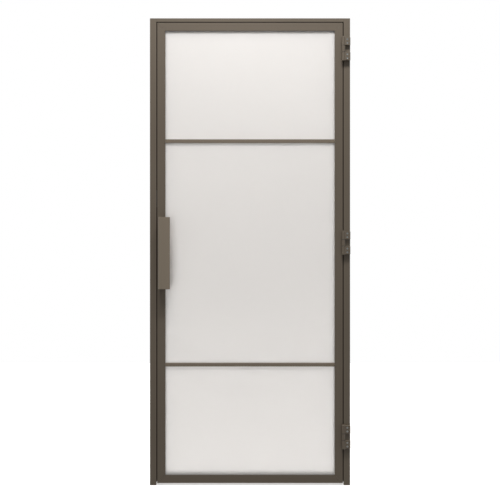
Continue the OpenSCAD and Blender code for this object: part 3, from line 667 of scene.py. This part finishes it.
frontX = nodeBox("pull_front")[0].x
bendPull("pullFront", "pull_front", pull["frontFlange"], frontX + pull["bend"], -pull["faceY"],
         -1, 1, pull["tappedRadius"])
bendPull("pullBack", "pull_back", nodeBox("pull_back")[0].x, pull["backFlange"], pull["faceY"],
         1, -1, pull["clearRadius"])
print("pulls made")


# Hinges: cast blocks with a bored knuckle, a wing in the gap, caps and socket screws
hinge = {"barrel": 8, "blockFront": -34, "leafFace": -20, "split": 16, "end": 51, "chamfer": 3,
         "notch": (2.6, 1.6), "plateFront": -24, "plateStart": 7, "bore": 4.05,
         "screwRise": (25.38, 42.12), "screwX": 436, "screwHole": 2.75,
         "headHole": 4.75, "headHoleDepth": 5.5, "leafHalf": 14, "wing": 2.5, "wingEnd": 14,
         "wingFront": 8.5, "tabStart": 6.8, "bushBore": 6.02, "wingScrews": (-38, 0, 38), "wingScrewY": -3,
         "csk": 4.6, "capHeight": 3, "spigot": (4, 2.8), "capRound": 1.4, "ease": 0.5,
         "leafEase": 0.35, "sinkTip": 2.45, "sinkDepth": 2.15,
         "frameScrew": (2.45, 4.25, 5, 16, 2.3)}  # in the order of the pulls' bolt
jambEdge = nodeBox("jamb_hinge_side")[1].x
pinLow, pinHigh = nodeBox("hinge_pin_low")
axisX, axisY = (pinLow.x + pinHigh.x) / 2, (pinLow.y + pinHigh.y) / 2
levels = {name: sum(corner.z for corner in nodeBox("hinge_pin_" + name)) / 2
          for name in ("low", "mid", "top")}


def socketScrew(name, radius, headRadius, headHeight, length, socket, seat, direction):
    # head towards direction along Y from the seat, with a hexagon socket in its end
    x, y, z = seat
    head = startRod(name, headRadius, (x, min(y, y + direction * headHeight), z),
                    (x, max(y, y + direction * headHeight), z), "Y", 40)
    shank = startRod("shank", radius, (x, min(y, y - direction * length), z),
                     (x, max(y, y - direction * length), z), "Y", 24)
    combine(head, [shank], "UNION")
    tip = y + direction * headHeight
    cutter = startRod("hexKey", socket, (x, min(tip - direction * headHeight * 0.55, tip + direction), z),
                      (x, max(tip - direction * headHeight * 0.55, tip + direction), z), "Y", 6)
    return easeEdges(combine(head, [cutter]), 0.3)


def makeHingeSet():
    z = levels["low"]
    body = startBlock("hingeFrameLow", (axisX, hinge["blockFront"], z + hinge["split"]),
                      (jambEdge, hinge["leafFace"], z + hinge["end"]))
    bevelPicked(body, hinge["chamfer"], 1, lambda middle, heading: abs(heading.z) > 0.9
                and middle.x > jambEdge - 1 and middle.y < hinge["blockFront"] + 1)
    across, deep = hinge["notch"]
    notch = startBlock("notch", (axisX - 1, hinge["leafFace"] - deep, z),
                       (axisX + across, hinge["leafFace"] + 1, z + 60))
    combine(body, [notch])
    barrel = startRod("barrel", hinge["barrel"], (axisX, axisY, z + hinge["split"]),
                      (axisX, axisY, z + hinge["end"]), "Z", 64)
    easeEdges(combine(body, [barrel], "UNION"), hinge["ease"])
    lower = copyTo(body, "lowerBlock", (0, 0, -hinge["split"] - hinge["end"]))
    plate = startBlock("plate", (axisX + hinge["plateStart"], hinge["plateFront"], z - hinge["end"]),
                       (jambEdge, hinge["leafFace"], z + hinge["end"]))
    combine(body, [lower, easeEdges(plate, hinge["ease"])], "UNION")
    cutters = [startRod("bore", hinge["bore"], (axisX, axisY, z - 60), (axisX, axisY, z + 60),
                        "Z", 48)]
    for rise in [s * r for s in (-1, 1) for r in hinge["screwRise"]]:
        cutters.append(startRod("hole", hinge["screwHole"], (hinge["screwX"], -50, z + rise),
                                (hinge["screwX"], -10, z + rise), "Y", 24))
        cutters.append(startRod("seat", hinge["headHole"], (hinge["screwX"], -50, z + rise),
                                (hinge["screwX"], hinge["blockFront"] + hinge["headHoleDepth"],
                                 z + rise), "Y", 40))
    combine(body, cutters)

    knuckle = startRod("hingeLeafLow", hinge["barrel"], (axisX, axisY, z - hinge["leafHalf"]),
                       (axisX, axisY, z + hinge["leafHalf"]), "Z", 64)
    wingLow = nodeBox("stile_hinge_side")[1].x
    wing = startBlock("wing", (wingLow, axisY + hinge["wingFront"], z - hinge["end"]),
                      (wingLow + hinge["wing"], hinge["wingEnd"], z + hinge["end"]))
    tab = startBlock("tab", (wingLow, axisY + hinge["tabStart"], z - hinge["leafHalf"]),
                     (wingLow + hinge["wing"], axisY + hinge["wingFront"] + 1,
                      z + hinge["leafHalf"]))
    combine(wing, [tab], "UNION")
    combine(knuckle, [wing], "UNION")
    cutters = [startRod("bore", hinge["bushBore"], (axisX, axisY, z - 60), (axisX, axisY, z + 60),
                        "Z", 48)]
    for rise in hinge["wingScrews"]:
        outerX = wingLow + hinge["wing"]
        cutters.append(startRod("hole", hinge["screwHole"], (wingLow - 5, hinge["wingScrewY"], z + rise),
                                (outerX + 5, hinge["wingScrewY"], z + rise), "X", 24))
        cutters.append(startRod("sink", hinge["sinkTip"],
                                (outerX - hinge["sinkDepth"], hinge["wingScrewY"], z + rise),
                                (outerX + 0.05, hinge["wingScrewY"], z + rise), "X", 32,
                                tipRadius=hinge["csk"]))
    combine(knuckle, cutters)
    easeEdges(knuckle, hinge["leafEase"])
    return body, knuckle


framePart, leafPart = makeHingeSet()
for name, z in levels.items():
    rise = (0, 0, z - levels["low"])
    frameCopy = framePart if name == "low" else copyTo(framePart, "hingeFrame" + name.capitalize(), rise)
    leafCopy = leafPart if name == "low" else copyTo(leafPart, "hingeLeaf" + name.capitalize(), rise)
    handOver(frameCopy, hingeCoat, "bronze_hinge", "frame", "hinge_frame_part_" + name)
    handOver(leafCopy, hingeCoat, "bronze_hinge", "leaf", "hinge_leaf_part_" + name)

cap = startRod("cap", hinge["barrel"], (0, 0, 0), (0, 0, hinge["capHeight"]), "Z", 64)
bevelPicked(cap, hinge["capRound"], 5, lambda middle, heading: middle.z > hinge["capHeight"] - 0.1
            and abs(heading.z) < 0.1)
spigotRadius, spigotDepth = hinge["spigot"]
combine(cap, [startRod("spigot", spigotRadius, (0, 0, -spigotDepth), (0, 0, 0.5), "Z", 32)],
        "UNION")
caps = [copyTo(cap, "capCopy", (axisX, axisY, z + way * hinge["end"]), 0 if way > 0 else 180)
        for z in levels.values() for way in (1, -1)]
bpy.data.objects.remove(cap)
handOver(joinAll(caps, "hingeEndCaps"), hingeCoat, "bronze_hinge", "frame", "hinge_caps")

seatY = hinge["blockFront"] + hinge["headHoleDepth"]
screw = socketScrew("frameScrew", *hinge["frameScrew"],
                    (hinge["screwX"], seatY, levels["low"]), -1)
screws = [copyTo(screw, "screwCopy", (0, 0, z - levels["low"] + way * rise))
          for z in levels.values() for way in (-1, 1) for rise in hinge["screwRise"]]
bpy.data.objects.remove(screw)
handOver(joinAll(screws, "hingeFrameScrews"), zincPlate, "zinc_steel", "frame",
         "hinge_frame_screws")

low, high = nodeBox("pull_back")
boltHeights = (low.z + pull["boltFromEnd"], high.z - pull["boltFromEnd"])
bolt = socketScrew("pullBolt", *pull["bolt"],
                   (pull["boltX"], low.y + pull["plate"], boltHeights[0]), 1)
second = copyTo(bolt, "boltCopy", (0, 0, boltHeights[1] - boltHeights[0]))
handOver(joinAll([bolt, second], "pullBolts"), zincPlate, "zinc_steel", "leaf", "pull_bolts")
print("hinges and screws made")


# Studio: pale floor, soft light and the camera
studio = {
    "floorColour": "#ebeae8",
    "floorHalf": 3.2,          # m from the door to the edge of the floor
    "eyeHeight": 1.058,        # m
    "cameraDistance": 3.0,     # m from the face of the frame
    "viewWidth": 2.2484,       # m across the picture at the face of the frame
    "floorGlow": 0.45,
    "frontGlow": 0.31, "backMiddle": 0.98, "backBelow": 2.8, "backAbove": 1.36,
    "sunStrength": 0.95, "sunElevation": 64, "sunSide": -3, "sunSoftness": 20,
    "keyPower": 80, "keySize": (2.0, 0.16), "keyPlace": (-0.05, -1.1, 4.0), "keyTarget": (0.0, 0.0, 1.1),
}


def makeFloor():
    clearSelection()
    bpy.ops.mesh.primitive_plane_add(size=2 * studio["floorHalf"])
    floor = bpy.context.object
    floor.name = "floor"
    material, tree, place = startMaterial("paleFloor")
    shader = addNode(tree, "ShaderNodeBsdfPrincipled",
                     {"Base Color": asLinear(studio["floorColour"]), "Roughness": 0.9,
                      "Specular IOR Level": 0.2, "Emission Color": (1, 1, 1, 1),
                      "Emission Strength": studio["floorGlow"]})
    endMaterial(material, tree, shader)
    floor.data.materials.append(material)
    floor.visible_diffuse = False       # the studio light alone sets the door's shading
    floor.visible_glossy = False
    floor.visible_transmission = False


def makeWorld():
    world = bpy.data.worlds.new("studioLight")
    bpy.context.scene.world = world
    world.use_nodes = True
    tree = world.node_tree
    tree.nodes.clear()
    direction = addNode(tree, "ShaderNodeTexCoord").outputs["Generated"]
    split = addNode(tree, "ShaderNodeSeparateXYZ", None, {"Vector": direction})
    below = addNode(tree, "ShaderNodeMapRange",
                    {"From Min": -0.1, "From Max": -0.4, "To Min": studio["backMiddle"],
                     "To Max": studio["backBelow"]}, {"Value": split.outputs["Z"]})
    above = addNode(tree, "ShaderNodeMapRange",
                    {"From Min": 0.0, "From Max": 0.4, "To Min": 0.0,
                     "To Max": studio["backAbove"] - studio["backMiddle"]},
                    {"Value": split.outputs["Z"]})
    behind = addNode(tree, "ShaderNodeMath", None,
                     {0: below.outputs["Result"], 1: above.outputs["Result"]}, operation="ADD")
    rearward = addNode(tree, "ShaderNodeMapRange", {"From Min": -0.1, "From Max": 0.4},
                       {"Value": split.outputs["Y"]})
    dome = addNode(tree, "ShaderNodeMix", {2: studio["frontGlow"]},
                   {0: rearward.outputs["Result"], 3: behind.outputs[0]})
    seen = addNode(tree, "ShaderNodeLightPath").outputs["Is Camera Ray"]
    strength = addNode(tree, "ShaderNodeMix", {3: 1.0}, {0: seen, 2: dome.outputs[0]})
    background = addNode(tree, "ShaderNodeBackground", {"Color": (1, 1, 1, 1)},
                         {"Strength": strength.outputs[0]})
    addNode(tree, "ShaderNodeOutputWorld", None, {"Surface": background.outputs["Background"]})


def aimAt(thing, target):
    direction = Vector(target) - thing.location
    thing.rotation_euler = direction.to_track_quat("-Z", "Y").to_euler()


def makeLights():
    clearSelection()
    tilt = math.radians(studio["sunElevation"])
    side = math.radians(studio["sunSide"])
    bpy.ops.object.light_add(type="SUN", location=(math.sin(side), -math.cos(side), math.tan(tilt)))
    sun = bpy.context.object
    sun.name = "topLight"
    sun.data.energy = studio["sunStrength"]
    sun.data.angle = math.radians(studio["sunSoftness"])
    aimAt(sun, (0, 0, 0))
    bpy.ops.object.light_add(type="AREA", location=studio["keyPlace"])
    lamp = bpy.context.object
    lamp.name = "keyLight"
    lamp.data.shape = "RECTANGLE"
    lamp.data.size, lamp.data.size_y = studio["keySize"]
    lamp.data.energy = studio["keyPower"]
    lamp.visible_camera = False
    aimAt(lamp, studio["keyTarget"])


def makeCamera():
    clearSelection()
    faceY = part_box("jamb_lock_side")[0].y
    place = (0, faceY - studio["cameraDistance"], studio["eyeHeight"])
    bpy.ops.object.camera_add(location=place, rotation=(math.radians(90), 0, 0))
    camera = bpy.context.object
    camera.data.lens = camera.data.sensor_width * studio["cameraDistance"] / studio["viewWidth"]
    bpy.context.scene.camera = camera


makeFloor()
makeWorld()
makeLights()
makeCamera()
bpy.context.scene.view_settings.view_transform = "Standard"
print("studio ready")
